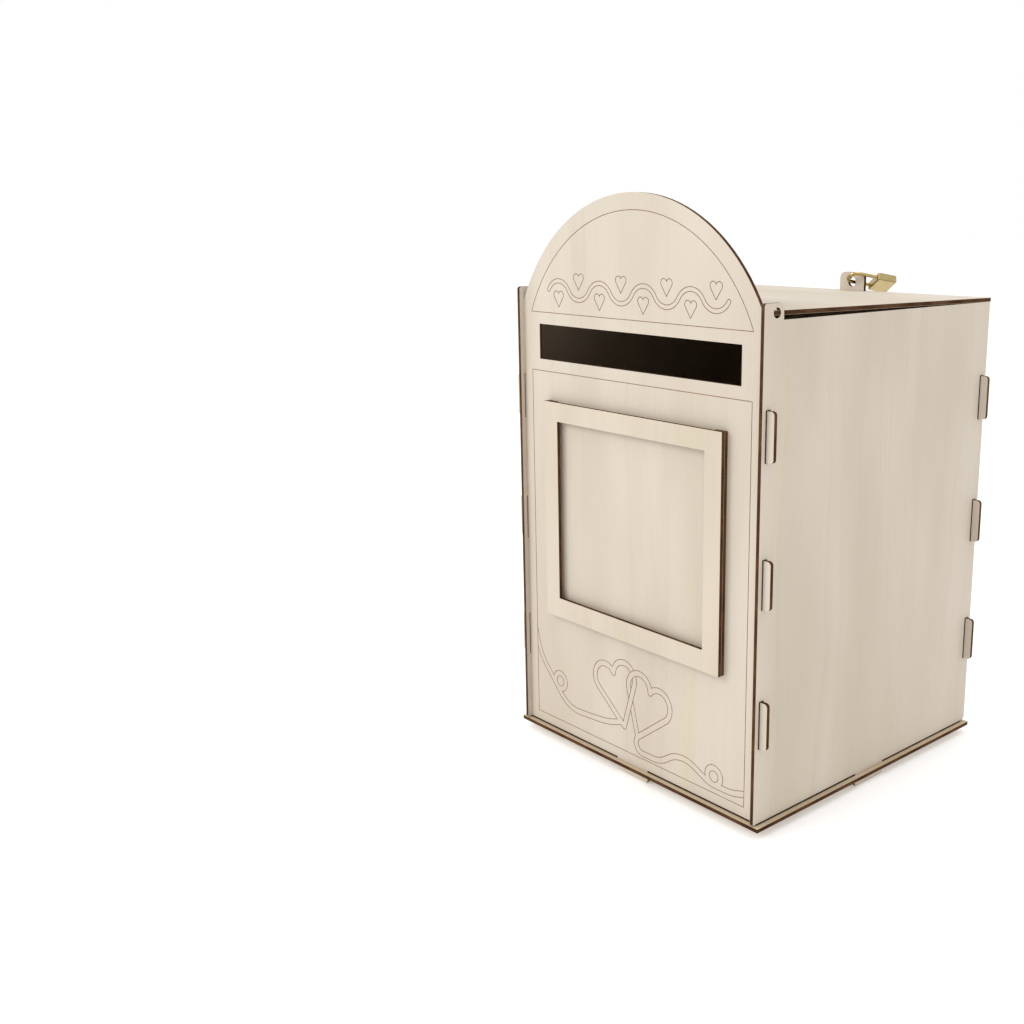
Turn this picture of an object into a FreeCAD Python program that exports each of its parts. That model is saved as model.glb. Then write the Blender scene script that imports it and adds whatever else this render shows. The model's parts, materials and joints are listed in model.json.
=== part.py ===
import FreeCAD, Part
import math
import os

# Wedding card box: a laser-cut plywood box with an arched front, a drop-in letter slot, a photo
# holder, a lid that turns on two pegs, and a small padlock through a tongue at the rear.
# Millimetres. X runs left to right across the front, Y from the front to the rear, Z up.
# The box is drawn with Y = 0 at the side panels' front edges and Z = 0 on the base plate's top,
# and is moved at the end so that its origin is the middle of its footprint, under the feet.

V = FreeCAD.Vector

# ---------------------------------------------------------------- driving dimensions
PLY = 3.0                       # plywood thickness of every wooden piece
BOX_WIDTH = 256.0               # over the outer faces of the side panels
BOX_DEPTH = 265.0               # side panels, front edge to rear edge
WALL_TOP = 349.0                # top edge of the side panels
WALL_GAP = 1.3                  # daylight between a wall's lower edge and the base
SETBACK = 4.1                   # front and rear panels stand in from the side panels' edges
TAB_LENGTH = 34.0               # every joining tab
TAB_PROUD = 6.5                 # how far a tab stands out beyond the piece it passes through
TAB_ROUND = 2.6                 # rounding of a tab's outer corners
TAB_HEIGHTS = (74.5, 174.5, 274.5)
TAB_PLAY = 0.3                  # play at each end of a tab in its slot
SLOT_SLACK = 0.6                # side panels' slots are this much wider than the ply, to the front
BASE_OVERHANG = 4.0             # base plate beyond each side panel
FOOT_CENTRE_Y = 133.0           # side panels' lower tabs

ARCH_CENTRE_Z = 292.8
ARCH_RADIUS = 137.3
LETTER_SLOT = (211.6, 305.2, 332.4)          # width, lower edge, upper edge

FRAME_WIDTH = 189.0             # photo holder, outside
FRAME_BOTTOM = 101.3
FRAME_TOP = 274.0
WINDOW_WIDTH = 157.4
WINDOW_BOTTOM = 117.1
WINDOW_TOP = 259.3
SPACER_STRIP = 10.0             # width of the holder's spacer strips

SIDE_FOOT_ROUND = 3.0           # side panels' lower rear corners
EAR_REAR = 18.8                 # hinge ear on each side panel
EAR_TOP = 360.0
EAR_FRONT_ROUND = 2.2
EAR_REAR_ROUND = 3.5
HINGE_Y = 12.1
HINGE_Z = 353.7
HINGE_HOLE_RADIUS = 3.5
PEG_WIDTH = 5.0                 # lid's hinge peg, as thick as the ply
PEG_SHORT = 0.2                 # peg ends stop short of the side panels' outer faces
LID_SHOULDER = 8.1              # from the hinge line to the lid's full width, clear of the ear's corner
LID_FRONT = 4.3                 # lid in front of the hinge line
LID_REAR = 266.5
LID_SIDE_PLAY = 0.4             # between the lid's neck and each side panel
LID_ROUND = 1.0
LID_REST_GAP = 0.03             # under the lid where it lies on the side panels

BACK_DROP = 0.1                 # rear panel's top, below the side panels'
TONGUE_WIDTH = 25.0
TONGUE_TOP = 367.6
TONGUE_ROUND = 5.0
TONGUE_HOLE_RADIUS = 4.0
TONGUE_HOLE_Z = 359.5
TONGUE_SLOT_PLAY = (0.7, 0.4, 1.6)           # in the lid: each side, in front, behind

LINE_WIDTH = 0.55               # engraved lines
LINE_DEPTH = 0.4
BORDER_INSET = 9.55             # engraved border, in from the front panel's edges
BORDER_BOTTOM = 9.0
BORDER_TOP = 296.1
ARCH_LINE_RADIUS = 125.3
RIBBON_WIDTH = 4.6              # ribbons are engraved as two outlines, this far apart
HEART_LOBE = 12.0               # radius of the two large hearts' lobes
HEART_FLANK_ANGLE = 34.0        # a heart's straight flanks, off its axis
HEART_CLEFT_ANGLE = 20.0        # where its lobes meet, above their centres
HEARTS = (((-9.0, 29.0), 17.0), ((6.0, 25.0), -19.0))        # tip and lean of each large heart
HEARTS_CROSS_Z = 62.0           # above it the right heart passes over the left one, below under it
CURL = 6.5                      # radius of a ribbon's curl
LEFT_TAIL_OUTSIDE = 3.6         # the left ribbon starts this far outside the border
LEFT_TAIL_TOP = 88.0
LEFT_TAIL_HEADING = -76.0
LEFT_TAIL = [(16, 0), (46, 30), (18, 0), (CURL, 360), (8, 0), (30, 50), (22, 0), (90, 18)]
RIGHT_TAIL_HEADING = -128.0     # the right ribbon starts at its heart's tip
RIGHT_TAIL = [
    (7.2, 128), (11, 0), (26, 38), (27, -62), (13, 0),
    (20, 24), (CURL, 360), (12, 0), (36, 16), (12, 0),
]
GARLAND_Z = 359.3               # wave of ribbon across the arch
GARLAND_WIDTH = 3.2
GARLAND_WAVES = 8
WAVE_RADIUS = 13.5
WAVE_TURN = 120.0
SMALL_LOBE = 2.9                # lobes of the small hearts beside the wave
SMALL_HEART_RISE = 0.6          # from the wave's middle line to a small heart

LOCK_YAW = 31.0                 # the padlock hangs askew behind the tongue
LOCK_DROOP = 11.0
LOCK_ROLL = 30.0
WIRE = 3.0                      # shackle wire
WIRE_END_ROUND = 0.5
LEG_SPACING = 14.5
LOCK_FACE_L = 15.0              # end face of the padlock body, from the tongue's hole
LOCK_LENGTH = 17.0
LOCK_WIDTH = 21.0
LOCK_THICK = 7.0
LOCK_ROUND = 1.4
LEG_BORE_PLAY = 0.1
LEG_END_PLAY = 0.3              # past each leg's end in its bore
TOE_DEPTH = 5.4
HEEL_DEPTH = 14.0
HEEL_FLAT = (20.1, 27.7)        # flat on the longer leg that its pin runs along
HEEL_FLAT_S = 0.9               # the flat, in from the leg's axis
HEEL_PIN = (12.95, 20.9, 0.6)   # across, along, radius
PLUG_RADIUS = 2.5
PLUG_PLAY = 0.05
PLUG_FACE_L = 20.1
PLUG_RECESS = 0.2               # plug's key face, below the body's end
PLUG_WAIST_RADIUS = 1.98
PLUG_WAIST_L = (28.0, 29.2)
PLUG_PIN = (9.8, 28.6, 0.5)     # across, along, radius
PIN_SHORT = 0.6                 # cross pins are this much shorter than the body is thick
KEYWAY = (1.0, 3.4, 21.5)       # width, height, inner end
CAM_PIN_RADIUS = 0.4
CAM_PIN_ARM = 1.0
CAM_PIN_LENGTH = 2.5
CAM_PIN_ROOT = 0.1              # of the pin, let into the plug
CAM_HALF_TURN = 45.0            # the pin swings this far each side of the middle
LATCH_L = (17.3, 19.7)
LATCH_HALF = 1.7
LATCH_NOSE = 0.6                # nose of the latch when locked, from the toe leg's axis
LATCH_TAIL = 10.5
LATCH_YOKE = 1.0                # width of the yoke that the cam pin works in
LATCH_YOKE_FLOOR = 0.15
LATCH_SPACE = (0.5, 12.6)       # across
LATCH_PLAY = 0.1
NOTCH_PLAY = 0.2                # in the toe leg, round the latch's nose
SPRING_LENGTH = 1.7
SPRING_PITCH = 0.55
SPRING_RADIUS = 0.75
SPRING_WIRE_RADIUS = 0.13
SPRING_GAP = 0.2                # between the latch's tail and the spring

PAST = 1.0                      # a cutting shape runs this far past the faces it cuts
TINY = 0.01

# ---------------------------------------------------------------- derived sizes
INNER_X = BOX_WIDTH / 2 - PLY
OUTER_X = BOX_WIDTH / 2
FOOT_Z = -PLY - TAB_PROUD
FRONT_Y = SETBACK
REAR_Y = BOX_DEPTH - SETBACK - PLY
LATCH_TRAVEL = 2 * CAM_PIN_ARM * math.sin(math.radians(CAM_HALF_TURN))


# ---------------------------------------------------------------- drawing helpers
def rounded_polygon(points):
    """A closed outline. Each point is (u, v) or (u, v, radius of the rounding there)."""
    corners = []
    count = len(points)
    for i in range(count):
        here = points[i]
        before = points[i - 1]
        after = points[(i + 1) % count]
        p = V(here[0], here[1], 0)
        radius = here[2] if len(here) > 2 else 0.0
        if radius == 0.0:
            corners.append((p, None, p))
            continue
        back = (V(before[0], before[1], 0) - p).normalize()
        forward = (V(after[0], after[1], 0) - p).normalize()
        half = back.getAngle(forward) / 2
        reach = radius / math.tan(half)
        centre = p + (back + forward).normalize() * (radius / math.sin(half))
        middle = centre + (p - centre).normalize() * radius
        corners.append((p + back * reach, middle, p + forward * reach))
    edges = []
    for i in range(count):
        start, middle, end = corners[i]
        if middle is not None:
            edges.append(Part.Arc(start, middle, end).toShape())
        following = corners[(i + 1) % count][0]
        if end.distanceToPoint(following) > 1e-6:
            edges.append(Part.LineSegment(end, following).toShape())
    return Part.Wire(edges)


def plate(outline, normal_axis, low):
    """Extrude a flat outline by the ply's thickness. Axis X: (u, v) = (Y, Z). Axis Y: (X, Z)."""
    solid = Part.Face(outline).extrude(V(0, 0, PLY))
    places = {
        "X": FreeCAD.Matrix(0, 0, 1, low, 1, 0, 0, 0, 0, 1, 0, 0, 0, 0, 0, 1),
        "Y": FreeCAD.Matrix(1, 0, 0, 0, 0, 0, -1, low + PLY, 0, 1, 0, 0, 0, 0, 0, 1),
        "Z": FreeCAD.Matrix(1, 0, 0, 0, 0, 1, 0, 0, 0, 0, 1, low, 0, 0, 0, 1),
    }
    solid.Placement = FreeCAD.Placement(places[normal_axis])
    return solid


def box(x, y, z):
    """A rectangular block between two values on each axis."""
    return Part.makeBox(x[1] - x[0], y[1] - y[0], z[1] - z[0], V(x[0], y[0], z[0]))


def wall_outline(half_width, top, tabs_up_edges):
    """The shared outline of the front and rear panels below their tops, as (x, z) points."""
    reach = OUTER_X + TAB_PROUD
    foot = TAB_LENGTH / 2
    right = []
    for middle in tabs_up_edges:
        low = middle - TAB_LENGTH / 2
        high = middle + TAB_LENGTH / 2
        right += [(half_width, low), (reach, low, TAB_ROUND)]
        right += [(reach, high, TAB_ROUND), (half_width, high)]
    lower = [(foot, FOOT_Z, TAB_ROUND), (foot, WALL_GAP), (half_width, WALL_GAP)]
    right_side = lower + right + [(half_width, top)]
    left_side = [(-p[0], *p[1:]) for p in reversed(right_side)]
    return right_side, left_side


# ---------------------------------------------------------------- engraving
def groove_line(a, b, width=LINE_WIDTH):
    """An engraved straight band between two (x, z) points, cut from the front panel's face."""
    along = V(b[0] - a[0], 0, b[1] - a[1])
    strip = Part.makeBox(along.Length, LINE_DEPTH, width, V(0, 0, -width / 2))
    strip.rotate(V(0, 0, 0), V(0, 1, 0), -math.degrees(math.atan2(along.z, along.x)))
    strip.translate(V(a[0], FRONT_Y, a[1]))
    return strip


def groove_arc(centre, radius, start, sweep, width=LINE_WIDTH):
    """An engraved arc about an (x, z) centre. Angles in degrees from +X towards +Z."""
    ring = Part.makeCylinder(radius + width / 2, LINE_DEPTH, V(0, 0, 0), V(0, 0, 1), abs(sweep))
    if radius > width / 2:
        ring = ring.cut(Part.makeCylinder(radius - width / 2, LINE_DEPTH))
    ring.rotate(V(0, 0, 0), V(0, 0, 1), min(start, start + sweep))
    ring.rotate(V(0, 0, 0), V(1, 0, 0), 90)
    ring.translate(V(centre[0], FRONT_Y + LINE_DEPTH, centre[1]))
    return ring


def pen_stroke(start, heading, moves, width=LINE_WIDTH):
    """Bands left by a pen. Each move is (length, 0) ahead, or (radius, turn), left turns positive."""
    x, z = start
    bands = [groove_arc(start, 0, 0, 360, width)]
    for size, turn in moves:
        if turn == 0:
            ahead = math.radians(heading)
            end = (x + size * math.cos(ahead), z + size * math.sin(ahead))
            bands.append(groove_line((x, z), end, width))
            x, z = end
            continue
        side = math.copysign(90.0, turn)
        to_centre = math.radians(heading + side)
        centre = (x + size * math.cos(to_centre), z + size * math.sin(to_centre))
        bands.append(groove_arc(centre, size, heading - side, turn, width))
        heading += turn
        out = math.radians(heading - side)
        x, z = centre[0] + size * math.cos(out), centre[1] + size * math.sin(out)
    bands.append(groove_arc((x, z), 0, 0, 360, width))
    return bands


def heart(tip, lean, lobe):
    """The two strokes of a heart standing on its tip: a straight flank and a round lobe each side."""
    flank_angle = math.radians(HEART_FLANK_ANGLE)
    cleft_angle = math.radians(HEART_CLEFT_ANGLE)
    flank = lobe * (math.cos(flank_angle) + math.cos(cleft_angle)) / math.sin(flank_angle)
    turn = 180 - HEART_CLEFT_ANGLE + HEART_FLANK_ANGLE
    return [
        (tip, 90 + lean - HEART_FLANK_ANGLE, [(flank, 0), (lobe, turn)]),
        (tip, 90 + lean + HEART_FLANK_ANGLE, [(flank, 0), (lobe, -turn)]),
    ]


def ribbon(strokes, width):
    """The outlines of a ribbon laid along some strokes, and the band between its outlines."""
    shapes = []
    for full in (width + LINE_WIDTH, width - LINE_WIDTH):
        bands = [band for stroke in strokes for band in pen_stroke(*stroke, full)]
        shapes.append(bands[0].fuse(bands[1:]).removeSplitter())
    outer, inner = shapes
    return outer.cut(inner), inner


def border_grooves():
    """A plain border round the front panel's lower part, and one that follows the arch."""
    side = INNER_X - BORDER_INSET
    arch_base = ARCH_CENTRE_Z + math.sqrt(ARCH_LINE_RADIUS ** 2 - side ** 2)
    lean = math.degrees(math.acos(side / ARCH_LINE_RADIUS))
    corners = [(-side, BORDER_BOTTOM), (side, BORDER_BOTTOM), (side, BORDER_TOP), (-side, BORDER_TOP)]
    grooves = [groove_line(corners[i - 1], corners[i]) for i in range(4)]
    grooves.append(groove_line((-side, arch_base), (side, arch_base)))
    grooves.append(groove_arc((0, ARCH_CENTRE_Z), ARCH_LINE_RADIUS, lean, 180 - 2 * lean))
    return grooves


def heart_grooves():
    """Two linked hearts low on the front, each trailing a ribbon with one curl to the border."""
    side = INNER_X - BORDER_INSET
    left_start = (-side - LEFT_TAIL_OUTSIDE, LEFT_TAIL_TOP)
    left_strokes = heart(*HEARTS[0], HEART_LOBE) + [(left_start, LEFT_TAIL_HEADING, LEFT_TAIL)]
    right_strokes = heart(*HEARTS[1], HEART_LOBE) + [(HEARTS[1][0], RIGHT_TAIL_HEADING, RIGHT_TAIL)]
    left_lines, left_band = ribbon(left_strokes, RIBBON_WIDTH)
    right_lines, right_band = ribbon(right_strokes, RIBBON_WIDTH)
    depth = (FRONT_Y - PAST, FRONT_Y + PLY)
    upper = box((-side, side), depth, (HEARTS_CROSS_Z, BORDER_TOP))
    lower = box((-side, side), depth, (0, HEARTS_CROSS_Z))
    left_lines = left_lines.cut(right_band.common(upper))
    right_lines = right_lines.cut(left_band.common(lower))
    inside = box((-side, side), depth, (BORDER_BOTTOM, FRAME_BOTTOM))
    return [left_lines.common(inside), right_lines.common(inside)]


def garland_grooves():
    """A wave of ribbon across the arch, with a small heart in every bay of it."""
    chord = 2 * WAVE_RADIUS * math.sin(math.radians(WAVE_TURN / 2))
    left = -GARLAND_WAVES / 2 * chord
    moves = [(WAVE_RADIUS, WAVE_TURN * (-1) ** (i + 1)) for i in range(GARLAND_WAVES)]
    grooves = [ribbon([((left, GARLAND_Z), WAVE_TURN / 2, moves)], GARLAND_WIDTH)[0]]
    for i in range(GARLAND_WAVES):
        x = left + (i + 0.5) * chord
        crest = i % 2 == 0
        strokes = heart((0, 0), 0, SMALL_LOBE)
        lines = [line for stroke in strokes for line in pen_stroke(*stroke)]
        small = lines[0].fuse(lines[1:])
        top = small.BoundBox.ZMax
        rise = -SMALL_HEART_RISE - top if crest else SMALL_HEART_RISE
        small.translate(V(x, 0, GARLAND_Z + rise))
        grooves.append(small)
    return grooves


# ---------------------------------------------------------------- wooden pieces
def front_panel():
    right, left = wall_outline(INNER_X, 0, TAB_HEIGHTS)
    arch_foot = ARCH_CENTRE_Z + math.sqrt(ARCH_RADIUS ** 2 - INNER_X ** 2)
    points = [(-TAB_LENGTH / 2, FOOT_Z, TAB_ROUND)] + right[:-1] + [(INNER_X, arch_foot)]
    points += [(-INNER_X, arch_foot)] + left[1:-1]
    panel = plate(rounded_polygon(points), "Y", FRONT_Y)
    crown = Part.makeCylinder(ARCH_RADIUS, PLY, V(0, FRONT_Y, ARCH_CENTRE_Z), V(0, 1, 0))
    crown_z = (arch_foot, ARCH_CENTRE_Z + ARCH_RADIUS + PAST)
    above = box((-INNER_X, INNER_X), (FRONT_Y, FRONT_Y + PLY), crown_z)
    panel = panel.fuse(crown.common(above)).removeSplitter()
    width, low, high = LETTER_SLOT
    panel = panel.cut(box((-width / 2, width / 2), (FRONT_Y - PAST, FRONT_Y + PLY + PAST), (low, high)))
    for grooves in (border_grooves(), heart_grooves(), garland_grooves()):
        panel = panel.cut(grooves)
    return panel


def back_panel():
    right, left = wall_outline(INNER_X, WALL_TOP - BACK_DROP, TAB_HEIGHTS)
    half = TONGUE_WIDTH / 2
    tongue = [(half, WALL_TOP - BACK_DROP), (half, TONGUE_TOP, TONGUE_ROUND)]
    tongue += [(-half, TONGUE_TOP, TONGUE_ROUND), (-half, WALL_TOP - BACK_DROP)]
    points = [(-TAB_LENGTH / 2, FOOT_Z, TAB_ROUND)] + right + tongue + left[:-1]
    panel = plate(rounded_polygon(points), "Y", REAR_Y)
    hole = Part.makeCylinder(
        TONGUE_HOLE_RADIUS, PLY + 2 * PAST, V(0, REAR_Y - PAST, TONGUE_HOLE_Z), V(0, 1, 0)
    )
    return panel.cut(hole)


def side_panel(side):
    """side is -1 for the left panel and 1 for the right one."""
    foot = TAB_LENGTH / 2
    points = [
        (0, WALL_GAP),
        (FOOT_CENTRE_Y - foot, WALL_GAP),
        (FOOT_CENTRE_Y - foot, FOOT_Z, TAB_ROUND),
        (FOOT_CENTRE_Y + foot, FOOT_Z, TAB_ROUND),
        (FOOT_CENTRE_Y + foot, WALL_GAP),
        (BOX_DEPTH, WALL_GAP, SIDE_FOOT_ROUND),
        (BOX_DEPTH, WALL_TOP),
        (EAR_REAR, WALL_TOP),
        (EAR_REAR, EAR_TOP, EAR_REAR_ROUND),
        (0, EAR_TOP, EAR_FRONT_ROUND),
    ]
    low_x = INNER_X if side > 0 else -OUTER_X
    panel = plate(rounded_polygon(points), "X", low_x)
    across = (low_x - PAST, low_x + PLY + PAST)
    hole_start = V(low_x - PAST, HINGE_Y, HINGE_Z)
    cuts = [Part.makeCylinder(HINGE_HOLE_RADIUS, PLY + 2 * PAST, hole_start, V(1, 0, 0))]
    half = TAB_LENGTH / 2 + TAB_PLAY
    for middle in TAB_HEIGHTS:
        for y in (FRONT_Y, REAR_Y):
            cuts.append(box(across, (y - SLOT_SLACK, y + PLY), (middle - half, middle + half)))
    return panel.cut(Part.makeCompound(cuts))


def base_panel():
    edge = OUTER_X + BASE_OVERHANG
    panel = box((-edge, edge), (0, BOX_DEPTH), (-PLY, 0))
    half = TAB_LENGTH / 2 + TAB_PLAY
    through = (-PLY - PAST, PAST)
    cuts = [box((-half, half), (y, y + PLY), through) for y in (FRONT_Y, REAR_Y)]
    for x in (-OUTER_X, INNER_X):
        cuts.append(box((x, x + PLY), (FOOT_CENTRE_Y - half, FOOT_CENTRE_Y + half), through))
    return panel.cut(Part.makeCompound(cuts))


def photo_frame_face():
    across = (-FRAME_WIDTH / 2, FRAME_WIDTH / 2)
    face = box(across, (FRONT_Y - 2 * PLY, FRONT_Y - PLY), (FRAME_BOTTOM, FRAME_TOP))
    window = box((-WINDOW_WIDTH / 2, WINDOW_WIDTH / 2), (-PLY * 2, FRONT_Y), (WINDOW_BOTTOM, WINDOW_TOP))
    return face.cut(window)


def photo_frame_spacer():
    """A U of plywood strips behind the face, open at the top so that a photo slides in."""
    block = box((-FRAME_WIDTH / 2, FRAME_WIDTH / 2), (FRONT_Y - PLY, FRONT_Y), (FRAME_BOTTOM, FRAME_TOP))
    inner = FRAME_WIDTH / 2 - SPACER_STRIP
    heights = (FRAME_BOTTOM + SPACER_STRIP, FRAME_TOP + PAST)
    space = box((-inner, inner), (-PLY, FRONT_Y + PAST), heights)
    return block.cut(space)


def lid():
    """Drawn level about the hinge line, then let down onto the side panels' rear corners."""
    neck = INNER_X - LID_SIDE_PLAY
    shoulder = HINGE_Y + LID_SHOULDER
    plan = [
        (-neck, HINGE_Y - LID_FRONT),
        (neck, HINGE_Y - LID_FRONT),
        (neck, shoulder),
        (OUTER_X, shoulder, LID_ROUND),
        (OUTER_X, LID_REAR, LID_ROUND),
        (-OUTER_X, LID_REAR, LID_ROUND),
        (-OUTER_X, shoulder, LID_ROUND),
        (-neck, shoulder),
    ]
    low = HINGE_Z - PLY / 2
    panel = plate(rounded_polygon(plan), "Z", low)
    pegs = box(
        (-OUTER_X + PEG_SHORT, OUTER_X - PEG_SHORT),
        (HINGE_Y - PEG_WIDTH / 2, HINGE_Y + PEG_WIDTH / 2),
        (low, low + PLY),
    )
    panel = panel.fuse(pegs).removeSplitter()
    beside, ahead, behind = TONGUE_SLOT_PLAY
    half = TONGUE_WIDTH / 2 + beside
    slot = box((-half, half), (REAR_Y - ahead, REAR_Y + PLY + behind), (low - PAST, low + PLY + PAST))
    panel = panel.cut(slot)
    drop = HINGE_Z - WALL_TOP - LID_REST_GAP
    run = BOX_DEPTH - HINGE_Y
    reach = math.hypot(run, drop)
    tilt = math.degrees(math.atan2(drop, run) - math.asin(PLY / 2 / reach))
    panel.rotate(V(0, HINGE_Y, HINGE_Z), V(1, 0, 0), -tilt)
    return panel


# ---------------------------------------------------------------- padlock
# Its own axes: S from the leg in the tongue's hole to the outer leg, L from the bend towards the
# body, N across its thickness. The origin is where the first leg crosses the tongue's middle.
def lock_place(shape):
    """Hang a piece, drawn with X = S, Y = L and Z = N, askew in the tongue's hole."""
    shape.rotate(V(0, 0, 0), V(0, 1, 0), -LOCK_ROLL)
    shape.rotate(V(0, 0, 0), V(1, 0, 0), -LOCK_DROOP)
    shape.rotate(V(0, 0, 0), V(0, 0, 1), -LOCK_YAW)
    shape.translate(V(0, REAR_Y + PLY / 2, TONGUE_HOLE_Z))
    return shape


def along_l(radius, s, low, high):
    """A round bar or bore parallel to the shackle's legs."""
    return Part.makeCylinder(radius, high - low, V(s, low, 0), V(0, 1, 0))


def padlock_shackle():
    """One bent wire: the toe leg in the tongue's hole, the bend, and the longer heel leg."""
    toe_end = LOCK_FACE_L + TOE_DEPTH
    heel_end = LOCK_FACE_L + HEEL_DEPTH
    half = LEG_SPACING / 2
    toe_leg = Part.LineSegment(V(0, toe_end, 0), V(0, 0, 0)).toShape()
    bend = Part.Arc(V(0, 0, 0), V(half, -half, 0), V(LEG_SPACING, 0, 0)).toShape()
    heel_leg = Part.LineSegment(V(LEG_SPACING, 0, 0), V(LEG_SPACING, heel_end, 0)).toShape()
    section = Part.Wire(Part.makeCircle(WIRE / 2, V(0, toe_end, 0), V(0, 1, 0)))
    wire = Part.Wire([toe_leg, bend, heel_leg]).makePipeShell([section], True, False)
    wire = wire.makeFillet(WIRE_END_ROUND, [e for e in wire.Edges if e.BoundBox.YMin > toe_end - TINY])
    notch_l = (LATCH_L[0] - NOTCH_PLAY, LATCH_L[1] + NOTCH_PLAY)
    notch = box((LATCH_NOSE - LATCH_PLAY, WIRE), notch_l, (-WIRE, WIRE))
    flat = box((LEG_SPACING - WIRE, LEG_SPACING - HEEL_FLAT_S), HEEL_FLAT, (-WIRE, WIRE))
    return wire.cut(Part.makeCompound([notch, flat]))


def padlock_body():
    """A rounded block with the legs' bores, the plug's bore, and the space the latch slides in."""
    low_s = LEG_SPACING / 2 - LOCK_WIDTH / 2
    half = LOCK_THICK / 2
    end_l = LOCK_FACE_L + LOCK_LENGTH
    body = box((low_s, low_s + LOCK_WIDTH), (LOCK_FACE_L, end_l), (-half, half))
    body = body.makeFillet(LOCK_ROUND, body.Edges)
    bore = WIRE / 2 + LEG_BORE_PLAY
    latch_l = (LATCH_L[0] - LATCH_PLAY, PLUG_FACE_L + LATCH_PLAY)
    latch_n = (-LATCH_HALF - LATCH_PLAY, LATCH_HALF + LATCH_PLAY)
    cuts = [
        along_l(bore, 0, LOCK_FACE_L - PAST, LOCK_FACE_L + TOE_DEPTH + LEG_END_PLAY),
        along_l(bore, LEG_SPACING, LOCK_FACE_L - PAST, LOCK_FACE_L + HEEL_DEPTH + LEG_END_PLAY),
        along_l(PLUG_RADIUS + PLUG_PLAY, LEG_SPACING / 2, PLUG_FACE_L - LATCH_PLAY, end_l + PAST),
        box(LATCH_SPACE, latch_l, latch_n),
    ]
    return body.cut(Part.makeCompound(cuts)).cut(Part.makeCompound(retaining_pins()))


def retaining_pins():
    """Two cross pins: one holds the shackle's longer leg, the other holds the plug."""
    length = LOCK_THICK - PIN_SHORT
    pins = []
    for across, along, radius in (HEEL_PIN, PLUG_PIN):
        pins.append(Part.makeCylinder(radius, length, V(across, along, -length / 2), V(0, 0, 1)))
    return pins


def padlock_plug():
    """The turning plug: its keyway, the waist its pin holds, and the cam pin that draws the latch."""
    middle = LEG_SPACING / 2
    end_l = LOCK_FACE_L + LOCK_LENGTH - PLUG_RECESS
    plug = along_l(PLUG_RADIUS, middle, PLUG_FACE_L, end_l)
    waist = along_l(PLUG_RADIUS + PAST, middle, *PLUG_WAIST_L)
    waist = waist.cut(along_l(PLUG_WAIST_RADIUS, middle, *PLUG_WAIST_L))
    width, height, inner_end = KEYWAY
    keyway = box(
        (middle - width / 2, middle + width / 2),
        (inner_end, end_l + PAST),
        (-height / 2, height / 2),
    )
    plug = plug.cut(waist).cut(keyway)
    offset = CAM_PIN_ARM * math.sin(math.radians(CAM_HALF_TURN))
    root = V(middle + offset, PLUG_FACE_L - CAM_PIN_LENGTH, offset)
    length = CAM_PIN_LENGTH + CAM_PIN_ROOT
    return plug.fuse(Part.makeCylinder(CAM_PIN_RADIUS, length, root, V(0, 1, 0)))


def padlock_latch():
    """The sliding latch, drawn back, with a yoke for the cam pin."""
    nose = LATCH_NOSE + LATCH_TRAVEL
    bar = box((nose, LATCH_TAIL), LATCH_L, (-LATCH_HALF, LATCH_HALF))
    middle = LEG_SPACING / 2 + LATCH_TRAVEL / 2
    half = LATCH_YOKE / 2
    across = (middle - half, middle + half)
    yoke = box(across, (LATCH_L[0] - PAST, LATCH_L[1] + PAST), (LATCH_YOKE_FLOOR, LATCH_HALF + PAST))
    return bar.cut(yoke)


def padlock_latch_spring():
    """A coil between the latch's tail and the body, squeezed while the latch is drawn back."""
    coil = Part.makeHelix(SPRING_PITCH, SPRING_LENGTH, SPRING_RADIUS)
    start = coil.Edges[0].valueAt(coil.Edges[0].FirstParameter)
    heading = coil.Edges[0].tangentAt(coil.Edges[0].FirstParameter)
    section = Part.Wire(Part.makeCircle(SPRING_WIRE_RADIUS, start, heading))
    solid = Part.Wire(coil.Edges).makePipeShell([section], True, True)
    solid.rotate(V(0, 0, 0), V(0, 1, 0), 90)
    solid.translate(V(LATCH_TAIL + SPRING_GAP, (LATCH_L[0] + LATCH_L[1]) / 2, 0))
    return solid


# ---------------------------------------------------------------- assembly
NODES = {
    "base_panel": base_panel(),
    "front_panel": front_panel(),
    "back_panel": back_panel(),
    "side_panel_left": side_panel(-1),
    "side_panel_right": side_panel(1),
    "photo_frame_spacer": photo_frame_spacer(),
    "photo_frame_face": photo_frame_face(),
    "lid": lid(),
    "padlock_shackle": lock_place(padlock_shackle()),
    "padlock_body": lock_place(padlock_body()),
    "padlock_retaining_pins": lock_place(Part.makeCompound(retaining_pins())),
    "padlock_plug": lock_place(padlock_plug()),
    "padlock_latch": lock_place(padlock_latch()),
    "padlock_latch_spring": lock_place(padlock_latch_spring()),
}

whole = Part.makeCompound(list(NODES.values())).BoundBox
to_origin = V(0, -(whole.YMin + whole.YMax) / 2, -FOOT_Z)

os.makedirs("parts", exist_ok=True)
for name, shape in NODES.items():
    shape.translate(to_origin)
    shape.exportStep(f"parts/{name}.step")
    print(name, len(shape.Solids), shape.isValid(), round(shape.Volume, 1))
print("origin moved by", to_origin)
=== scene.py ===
import json
import math
import bpy
from mathutils import Matrix, Vector


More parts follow.
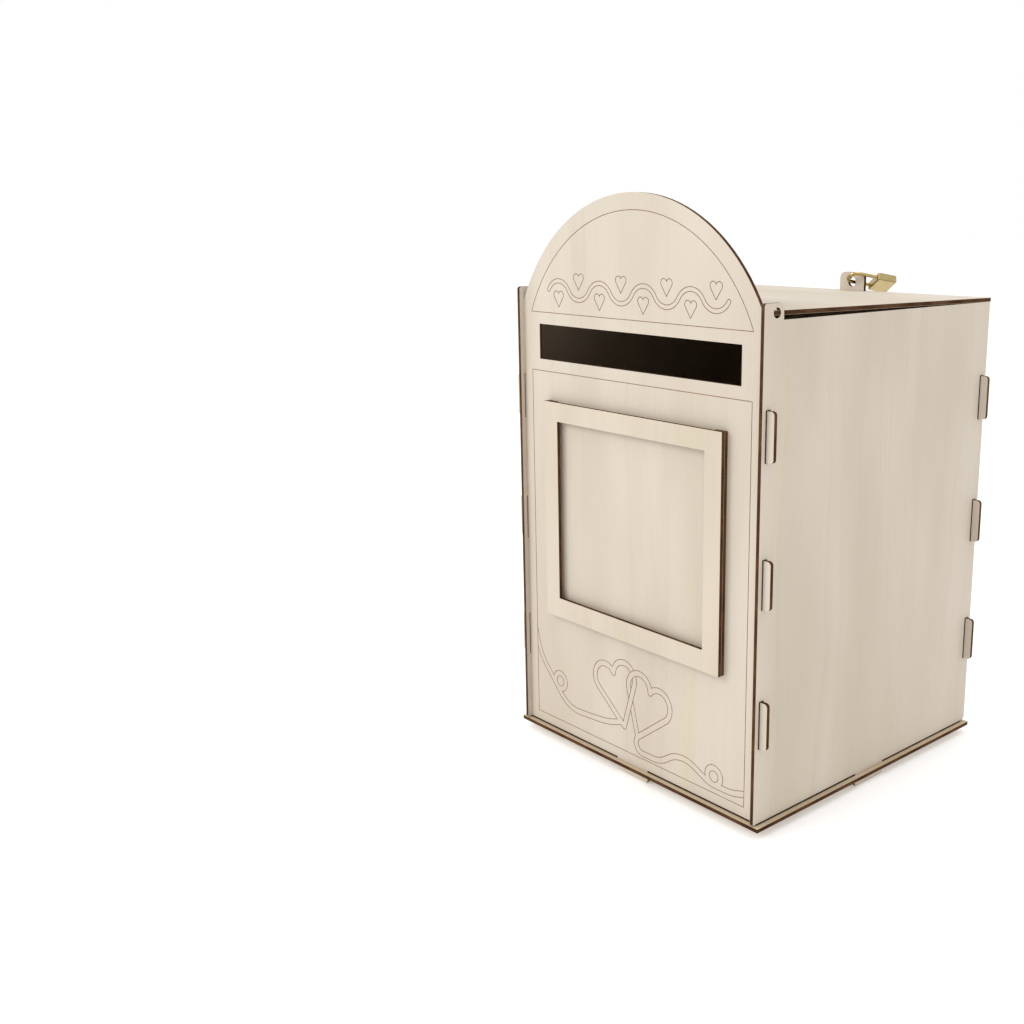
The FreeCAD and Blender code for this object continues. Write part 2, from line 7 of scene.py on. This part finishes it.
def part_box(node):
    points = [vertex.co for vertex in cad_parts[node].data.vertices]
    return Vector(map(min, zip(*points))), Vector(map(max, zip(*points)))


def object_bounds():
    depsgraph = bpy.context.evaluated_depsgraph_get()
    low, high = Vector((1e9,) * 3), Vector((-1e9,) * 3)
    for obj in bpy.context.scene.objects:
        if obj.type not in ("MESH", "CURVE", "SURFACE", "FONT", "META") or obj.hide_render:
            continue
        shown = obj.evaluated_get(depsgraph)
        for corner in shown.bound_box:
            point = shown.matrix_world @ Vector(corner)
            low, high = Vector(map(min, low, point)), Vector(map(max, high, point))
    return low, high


# A wedding card box of laser-cut plywood: the CAD pieces keep their shapes and get their materials
# here, and the studio is made round them. Lengths are in metres, in the CAD frame.
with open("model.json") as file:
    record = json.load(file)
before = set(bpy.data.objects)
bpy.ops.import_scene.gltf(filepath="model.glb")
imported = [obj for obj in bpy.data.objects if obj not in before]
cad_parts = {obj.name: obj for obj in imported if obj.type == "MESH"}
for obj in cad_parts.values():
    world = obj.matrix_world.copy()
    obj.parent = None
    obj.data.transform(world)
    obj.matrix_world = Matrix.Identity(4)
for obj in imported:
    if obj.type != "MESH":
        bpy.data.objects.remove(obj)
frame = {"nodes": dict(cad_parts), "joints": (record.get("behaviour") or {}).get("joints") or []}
cad_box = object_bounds()
nodes = frame["nodes"]

PLY = 0.003                      # plywood thickness
FACE_SKIN = 0.00006              # what lies deeper than this under a sheet's face has been cut
RIM = 0.00045                    # cut edges are a little less charred this close to a face
SLOT_RIM = 0.0009                # painted shade round the side panels' slots, out from the tab
TAB_ROOT = 0.0003                # painted shade on a tab, out from the side panel
GAP_SHADE_FADE = 0.0002
GAP_SHADE_DEPTH = 0.93                # how far the painted shade hides the wood under it
HAIR = 0.00005                   # a space is this much larger all round than the sheets' faces

# A cut edge's layers, from the sheet's middle outwards, as parts of its thickness: where each starts
# to show, shows wholly, starts to fade, and is gone.
CORE = (0.15, 0.21)
GLUE = (0.17, 0.20, 0.21, 0.24)
VENEER = (0.23, 0.29, 0.38, 0.46)

X_AXIS = (1.0, 0.0, 0.0)
Y_AXIS = (0.0, 1.0, 0.0)
Z_AXIS = (0.0, 0.0, 1.0)

# Plywood colours, linear
PALE = (0.510, 0.442, 0.354)
CREAM = (0.578, 0.512, 0.428)
FIBRE = (0.385, 0.310, 0.222)
STREAK = (0.550, 0.490, 0.345)
ENGRAVED = (0.380, 0.220, 0.105)
CHAR = (0.017, 0.0070, 0.0035)
TOASTED = (0.118, 0.050, 0.023)
GLUE_LINE = (0.260, 0.150, 0.080)
# painted shade: the darker colour of the faces inside the box
INSIDE_SHADE = (0.310, 0.225, 0.145)
# painted shade: near-black for the gaps round the tabs and the creases at the walls' feet
GAP_SHADE = (0.030, 0.014, 0.007)


# ---------------------------------------------------------------- shader helpers
class Shader:
    """A material's node tree, with short names for the nodes used most."""

    def __init__(self, name):
        self.material = bpy.data.materials.new(name)
        self.material.use_nodes = True
        self.tree = self.material.node_tree
        self.tree.nodes.clear()
        self.bsdf = self.node("ShaderNodeBsdfPrincipled")
        output = self.node("ShaderNodeOutputMaterial")
        self.link(self.bsdf.outputs["BSDF"], output.inputs["Surface"])

    def node(self, kind, **settings):
        made = self.tree.nodes.new(kind)
        for key, value in settings.items():
            setattr(made, key, value)
        return made

    def link(self, source, target):
        self.tree.links.new(source, target)

    def put(self, target, value):
        if isinstance(value, bpy.types.NodeSocket):
            self.link(value, target)
        else:
            target.default_value = value

    def math(self, operation, *values):
        made = self.node("ShaderNodeMath", operation=operation)
        for socket, value in zip(made.inputs, values):
            self.put(socket, value)
        return made.outputs[0]

    def dot(self, vector, direction):
        made = self.node("ShaderNodeVectorMath", operation="DOT_PRODUCT")
        self.put(made.inputs[0], vector)
        made.inputs[1].default_value = direction
        return made.outputs["Value"]

    def join(self, x, y, z):
        made = self.node("ShaderNodeCombineXYZ")
        for socket, value in zip(made.inputs, (x, y, z)):
            self.put(socket, value)
        return made.outputs[0]

    def noise(self, vector, detail=3.0, roughness=0.5):
        made = self.node("ShaderNodeTexNoise")
        self.put(made.inputs["Vector"], vector)
        made.inputs["Scale"].default_value = 1.0
        made.inputs["Detail"].default_value = detail
        made.inputs["Roughness"].default_value = roughness
        return made.outputs["Fac"]

    def step(self, value, low, high, to_low=0.0, to_high=1.0):
        made = self.node("ShaderNodeMapRange", interpolation_type="SMOOTHSTEP")
        for socket, v in zip(made.inputs, (value, low, high, to_low, to_high)):
            self.put(socket, v)
        return made.outputs[0]

    def mix(self, factor, a, b, blend="MIX"):
        made = self.node("ShaderNodeMix", data_type="RGBA", blend_type=blend)
        self.put(made.inputs[0], factor)
        for socket, colour in ((made.inputs[6], a), (made.inputs[7], b)):
            self.put(socket, (*colour, 1.0) if isinstance(colour, tuple) else colour)
        return made.outputs[2]

    def band(self, value, starts, full, fades, gone):
        """1 between full and fades, and 0 below starts and above gone."""
        return self.math("MULTIPLY", self.step(value, starts, full), self.step(value, gone, fades))

    def scaled(self, vector, factor):
        made = self.node("ShaderNodeVectorMath", operation="SCALE")
        self.link(vector, made.inputs[0])
        made.inputs["Scale"].default_value = factor
        return made.outputs[0]

    def within(self, position, low, high, soft=0.0):
        """1 where a position lies between two corners, fading over the softness outside them."""
        mask = None
        for axis, a, b in zip((X_AXIS, Y_AXIS, Z_AXIS), low, high):
            value = self.dot(position, axis)
            below = self.math("SUBTRACT", a, value)
            above = self.math("SUBTRACT", value, b)
            outside = self.math("MAXIMUM", below, above)
            part = self.step(outside, soft, -1e-6, 0.0, 1.0)
            mask = part if mask is None else self.math("MULTIPLY", mask, part)
        return mask

    def bump(self, height, distance, strength=1.0):
        made = self.node("ShaderNodeBump")
        made.inputs["Strength"].default_value = strength
        made.inputs["Distance"].default_value = distance
        self.put(made.inputs["Height"], height)
        return made.outputs[0]


# ---------------------------------------------------------------- plywood
def grained(s, along, across, rates, offset, detail=2.0, roughness=0.5):
    """Noise over a sheet, with one rate along the grain and another across it, per metre."""
    stretched = [s.math("MULTIPLY", value, rate) for value, rate in zip((along, across), rates)]
    return s.noise(s.join(*stretched, offset), detail, roughness)


def face_wood(s, along, across, seed):
    """Faces: broad tone, faint growth bands and streaks, fibres and short pores, all along the grain."""
    broad = grained(s, along, across, (3.5, 13.0), seed)
    sway = grained(s, along, across, (4.0, 7.0), seed + 7.0)
    swayed = s.math("ADD", across, s.math("MULTIPLY", sway, 0.05))
    bands = grained(s, along, swayed, (1.2, 75.0), seed, 3.0, 0.6)
    streaks = grained(s, along, swayed, (2.2, 38.0), seed + 3.0)
    fibres = grained(s, along, swayed, (20.0, 800.0), seed, 4.0, 0.6)
    pores = grained(s, along, across, (160.0, 3000.0), seed)
    wood = s.mix(s.step(broad, 0.3, 0.7), PALE, CREAM)
    wood = s.mix(s.step(bands, 0.50, 0.78, 0.0, 0.17), wood, FIBRE)
    wood = s.mix(s.step(streaks, 0.60, 0.74, 0.0, 0.45), wood, STREAK)
    wood = s.mix(s.step(fibres, 0.5, 0.8, 0.0, 0.15), wood, FIBRE)
    wood = s.mix(s.step(pores, 0.60, 0.78, 0.0, 0.22), wood, FIBRE)
    return wood, fibres, pores


def burnt_edge(s, layer, ripple, patches):
    """Cut edges: charred veneers, a toasted core with glue lines, and the beam's fine striations."""
    core = s.step(layer, PLY * CORE[1], PLY * CORE[0])
    veneer = s.band(layer, *(PLY * part for part in VENEER))
    glue = s.band(layer, *(PLY * part for part in GLUE))
    layers = s.math("ADD", s.math("MULTIPLY", core, 0.9), s.math("MULTIPLY", veneer, 0.45))
    toast = s.math("MULTIPLY", layers, s.step(patches, 0.30, 0.70, 0.35, 1.1))
    toast = s.math("MULTIPLY", toast, s.step(ripple, 0.3, 0.7, 0.65, 1.1))
    burnt = s.mix(toast, CHAR, TOASTED)
    return s.mix(s.math("MULTIPLY", glue, s.step(patches, 0.35, 0.65, 0.15, 0.75)), burnt, GLUE_LINE)


def plywood(name, middle, normal, grain, seed, shaded_inside=None, tint=(1.0, 1.0, 1.0), shaded_places=()):
    """Pale basswood plywood. A point on a face shows grain, a point below a face was cut by the laser.

    middle is a point halfway through the sheet, normal its face direction, grain the fibres' direction.
    shaded_inside is None, or the face turned into the box, which gets painted shade, a darker mottled
    colour: the side it is on, 1 or -1, and the corners of the space it is turned to. tint multiplies the
    faces' colour. shaded_places lists the places, as two corners and a sign, whose faces get dark
    painted shade for the gaps and creases there: 1 adds a place, -1 takes it out again.
    """
    s = Shader(name)
    place = s.node("ShaderNodeTexCoord")
    centred = s.node("ShaderNodeVectorMath", operation="SUBTRACT")
    s.link(place.outputs["Object"], centred.inputs[0])
    centred.inputs[1].default_value = middle
    point = centred.outputs[0]
    across_axis = Vector(normal).cross(Vector(grain)).normalized()
    along = s.dot(point, grain)
    across = s.dot(point, across_axis)
    depth = s.dot(point, normal)

    below_face = s.math("SUBTRACT", PLY / 2, s.math("ABSOLUTE", depth))
    cut = s.step(below_face, FACE_SKIN * 0.5, FACE_SKIN)
    facing = s.math("ABSOLUTE", s.dot(place.outputs["Normal"], normal))
    edge = s.math("MULTIPLY", cut, s.math("LESS_THAN", facing, 0.7))

    wood, fibres, pores = face_wood(s, along, across, seed)
    # Painted shade: faces turned into the box get a darker mottled colour, for the shade inside it.
    if shaded_inside:
        side, room = shaded_inside
        inside = s.math("GREATER_THAN", s.math("MULTIPLY", depth, side), PLY * 0.49)
        inside = s.math("MULTIPLY", inside, s.within(place.outputs["Object"], *room))
        shade_mottle = grained(s, along, across, (9.0, 9.0), seed, 3.0)
        wood = s.mix(s.math("MULTIPLY", inside, s.step(shade_mottle, 0.3, 0.7, 0.75, 0.95)), wood, INSIDE_SHADE)

    wood = s.mix(1.0, wood, tint, "MULTIPLY")
    # Painted shade: the listed places darken towards near-black, for the shade in slot gaps, at tab
    # roots and in the creases under the walls.
    shade_amount = 0.0
    for low, high, sign in shaded_places:
        patch = s.math("MULTIPLY", s.within(place.outputs["Object"], low, high, GAP_SHADE_FADE), sign)
        shade_amount = s.math("ADD", shade_amount, patch)
    if shaded_places:
        wood = s.mix(s.math("MINIMUM", s.math("MAXIMUM", shade_amount, 0.0), GAP_SHADE_DEPTH), wood, GAP_SHADE)

    ripple = grained(s, along, across, (2600.0, 2600.0), seed)
    patches = grained(s, along, across, (45.0, 45.0), seed, 3.0)
    burnt = burnt_edge(s, s.math("ABSOLUTE", depth), ripple, patches)
    edge = s.math("MULTIPLY", edge, s.step(below_face, RIM * 0.5, RIM, 0.55, 1.0))

    engraved = s.mix(s.step(patches, 0.3, 0.7, 0.0, 0.30), ENGRAVED, FIBRE)
    colour = s.mix(cut, wood, engraved)
    colour = s.mix(edge, colour, burnt)
    s.link(colour, s.bsdf.inputs["Base Color"])

    rough = s.step(fibres, 0.3, 0.8, 0.55, 0.70)
    s.link(s.math("ADD", rough, s.math("MULTIPLY", cut, 0.2)), s.bsdf.inputs["Roughness"])
    s.link(s.step(cut, 0.0, 1.0, 0.32, 0.05), s.bsdf.inputs["Specular IOR Level"])
    relief = s.math("ADD", s.math("MULTIPLY", fibres, 0.6), s.math("MULTIPLY", pores, 0.4))
    relief = s.math("ADD", relief, s.math("MULTIPLY", s.math("MULTIPLY", edge, ripple), 0.8))
    s.link(s.bump(relief, 0.00012, 0.6), s.bsdf.inputs["Normal"])
    return s.material


def chamber(ceiling):
    """The box's inside up to a height, with a hair's breadth more all round: low and high corners."""
    low = (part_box("side_panel_left")[1].x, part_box("front_panel")[1].y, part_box("base_panel")[1].z)
    high = (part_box("side_panel_right")[0].x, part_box("back_panel")[0].y, ceiling)
    return [value - HAIR for value in low], [value + HAIR for value in high]


def tabs():
    """Low and high corners of every tab that stands out through the side panels."""
    found = []
    for side, panel in ((-1, "side_panel_left"), (1, "side_panel_right")):
        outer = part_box(panel)[0].x if side < 0 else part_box(panel)[1].x
        for node in ("front_panel", "back_panel"):
            low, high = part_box(node)
            heights = sorted(v.co.z for v in nodes[node].data.vertices if side * (v.co.x - outer) > PLY)
            start = heights[0]
            for below, above in zip(heights, heights[1:] + [math.inf]):
                if above - below > 10 * PLY:
                    found.append(((outer, low.y, start), (outer, high.y, below)))
                    start = above
    return found


# ---------------------------------------------------------------- metals
BRUSH_STRETCH = 0.96             # the share of the pattern's rate taken out along the brushing
BRUSH_RATE = 6000.0              # both rates per metre
WEAR_RATE = 260.0


def metal(name, colour, dark, roughness, brush_axis):
    """A bought lock's metal: brushed along one axis, with a little handling wear."""
    s = Shader(name)
    place = s.node("ShaderNodeTexCoord")
    point = place.outputs["Object"]
    along = s.dot(point, brush_axis)
    stretch = s.node("ShaderNodeVectorMath", operation="MULTIPLY_ADD")
    s.link(s.join(along, along, along), stretch.inputs[0])
    stretch.inputs[1].default_value = tuple(-BRUSH_STRETCH * a for a in brush_axis)
    s.link(point, stretch.inputs[2])
    brushed = s.noise(s.scaled(stretch.outputs[0], BRUSH_RATE), 3.0, 0.6)
    worn = s.noise(s.scaled(point, WEAR_RATE), 4.0, 0.6)
    tint = s.mix(s.step(worn, 0.35, 0.7, 0.0, 0.45), colour, dark)
    tint = s.mix(s.step(brushed, 0.3, 0.8, 0.0, 0.30), tint, dark)
    s.link(tint, s.bsdf.inputs["Base Color"])
    s.bsdf.inputs["Metallic"].default_value = 1.0
    s.link(s.step(worn, 0.3, 0.8, roughness, roughness + 0.08), s.bsdf.inputs["Roughness"])
    s.link(s.bump(brushed, 0.00002, 0.5), s.bsdf.inputs["Normal"])
    return s.material


def dress(node, material):
    """Give a CAD node its material."""
    slots = nodes[node].data.materials
    slots.clear()
    slots.append(material)


def middle_of(node):
    low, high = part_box(node)
    return tuple((low + high) / 2)


def around(corners, x, y, z):
    """The place between two corners, made larger by x, y and z each way."""
    low, high = corners
    return (low[0] - x, low[1] - y, low[2] - z), (high[0] + x, high[1] + y, high[2] + z)


room = chamber(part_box("lid")[0].z)

# Painted shade round the slots' rims and on the tabs' roots, for the shade in the gaps there, and on the
# base round and under the walls' feet, for the shade in that crease.
rims = [(*around(tab, PLY * 1.1, SLOT_RIM, SLOT_RIM / 2), 1.0) for tab in tabs()]
roots = [(*around(tab, TAB_ROOT, PLY, PLY), 1.0) for tab in tabs()]
wall_feet = [
    (*around(room, PLY, PLY, 0.0), 1.0),
    (*around(room, -2 * PLY, -2 * PLY, 0.0), -1.0),
]

# each flat sheet: face direction, grain, the side turned to the box's inside (it gets painted shade),
# tint, places of painted shade
PLAIN = (1.0, 1.0, 1.0)
SHEETS = {
    "front_panel": (Y_AXIS, Z_AXIS, 1.0, PLAIN, roots),
    "back_panel": (Y_AXIS, Z_AXIS, -1.0, PLAIN, roots),
    "side_panel_left": (X_AXIS, Z_AXIS, 1.0, PLAIN, rims),
    "side_panel_right": (X_AXIS, Z_AXIS, -1.0, PLAIN, rims),
    "base_panel": (Z_AXIS, X_AXIS, 0.0, (0.92, 0.84, 0.70), wall_feet),
    "photo_frame_face": (Y_AXIS, Z_AXIS, 0.0, (0.98, 0.97, 0.93), ()),
    "photo_frame_spacer": (Y_AXIS, Z_AXIS, 0.0, PLAIN, ()),
}
for number, (node, (normal, grain, inner, tint, shade_places)) in enumerate(SHEETS.items()):
    seed = 3.0 + 5.3 * number
    shaded_inside = (inner, room) if inner else None
    dress(node, plywood(node + "_plywood", middle_of(node), normal, grain, seed, shaded_inside, tint, shade_places))


def lid_plane():
    """The lid lies a little askew: a point halfway through it, and its face direction."""
    mesh = nodes["lid"].data
    largest = max(mesh.polygons, key=lambda face: face.area)
    normal = largest.normal.copy()
    if normal.z < 0:
        normal = -normal
    heights = [vertex.co.dot(normal) for vertex in mesh.vertices]
    return tuple(normal * ((min(heights) + max(heights)) / 2)), tuple(normal)


lid_middle, lid_normal = lid_plane()
# The lid's underside inside the box gets the painted shade as well.
under_lid = (-1.0, chamber(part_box("lid")[1].z))
dress("lid", plywood("lid_plywood", lid_middle, lid_normal, X_AXIS, 61.0, under_lid))

release = next(j for j in frame["joints"] if j["name"] == "shackle_release")
throw = next(j for j in frame["joints"] if j["name"] == "latch_throw")
LEGS = tuple(release["axis"])
CROSS = tuple(throw["axis"])
brass = metal("padlock_brass", (0.48, 0.38, 0.18), (0.37, 0.285, 0.125), 0.14, CROSS)
wire = metal("shackle_brass", (0.56, 0.44, 0.20), (0.38, 0.29, 0.12), 0.10, LEGS)
steel = metal("lock_steel", (0.48, 0.47, 0.45), (0.32, 0.31, 0.30), 0.30, LEGS)
dress("padlock_body", brass)
dress("padlock_plug", brass)
dress("padlock_shackle", wire)
for node in ("padlock_retaining_pins", "padlock_latch", "padlock_latch_spring"):
    dress(node, steel)


# ---------------------------------------------------------------- studio
LENS = 41.68                     # millimetres, on a 36 mm sensor
SHIFT = (-0.125, -0.03125)       # puts the box to the right of the picture's middle
VIEW = (47.05, 12.52, 0.03)      # azimuth, elevation and roll in degrees
EYE_FROM_CORNER = (0.6235, -0.5683, 0.4133)      # from the box's middle, front edge and floor
FLOOR_SIZE = 30.0
FLOOR_WHITE = 0.84
FLOOR_GLOW = 0.22                # lifts the floor to the world's white
AIM = (0.0, 0.0, 0.2)            # where both lamps point
LAMPS = {                        # place, size, watts
    "key": ((-1.1, -2.2, 1.7), 1.2, 26.0),
    "top": ((0.3, 0.2, 2.4), 1.6, 14.0),
}


def camera():
    """A viewpoint to the right of the front, a little above the lid."""
    front_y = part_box("side_panel_right")[0].y
    floor_of_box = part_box("base_panel")[1].z
    data = bpy.data.cameras.new("camera")
    data.sensor_width = 36.0
    data.lens = LENS
    data.shift_x, data.shift_y = SHIFT
    eye = bpy.data.objects.new("camera", data)
    bpy.context.scene.collection.objects.link(eye)
    azimuth, elevation, roll = (math.radians(a) for a in VIEW)
    turn = Matrix.Rotation(azimuth, 4, "Z") @ Matrix.Rotation(math.pi / 2 - elevation, 4, "X")
    place = Vector((0.0, front_y, floor_of_box)) + Vector(EYE_FROM_CORNER)
    eye.matrix_world = Matrix.Translation(place) @ turn @ Matrix.Rotation(roll, 4, "Z")
    bpy.context.scene.camera = eye


def area_light(name, place, size, watts):
    data = bpy.data.lights.new(name, "AREA")
    data.shape = "SQUARE"
    data.size = size
    data.energy = watts
    lamp = bpy.data.objects.new(name, data)
    bpy.context.scene.collection.objects.link(lamp)
    lamp.location = place
    lamp.rotation_mode = "QUATERNION"
    lamp.rotation_quaternion = (Vector(AIM) - Vector(place)).to_track_quat("-Z", "Y")


def studio():
    """A plain white floor under an even, soft light, a little stronger from the front left."""
    bpy.ops.mesh.primitive_plane_add(size=FLOOR_SIZE, location=(0, 0, cad_box[0].z))
    floor = bpy.context.object
    floor.name = "floor"
    s = Shader("floor_white")
    s.bsdf.inputs["Base Color"].default_value = (FLOOR_WHITE, FLOOR_WHITE, FLOOR_WHITE, 1.0)
    s.bsdf.inputs["Roughness"].default_value = 0.9
    s.bsdf.inputs["Emission Color"].default_value = (1.0, 1.0, 1.0, 1.0)
    s.bsdf.inputs["Emission Strength"].default_value = FLOOR_GLOW
    floor.data.materials.append(s.material)
    world = bpy.data.worlds.new("studio")
    world.use_nodes = True
    background = world.node_tree.nodes["Background"]
    background.inputs["Color"].default_value = (1.0, 1.0, 1.0, 1.0)
    background.inputs["Strength"].default_value = 1.0
    bpy.context.scene.world = world
    for name, (place, size, watts) in LAMPS.items():
        area_light(name, place, size, watts)
    bpy.context.scene.view_settings.view_transform = "Standard"


camera()
studio()
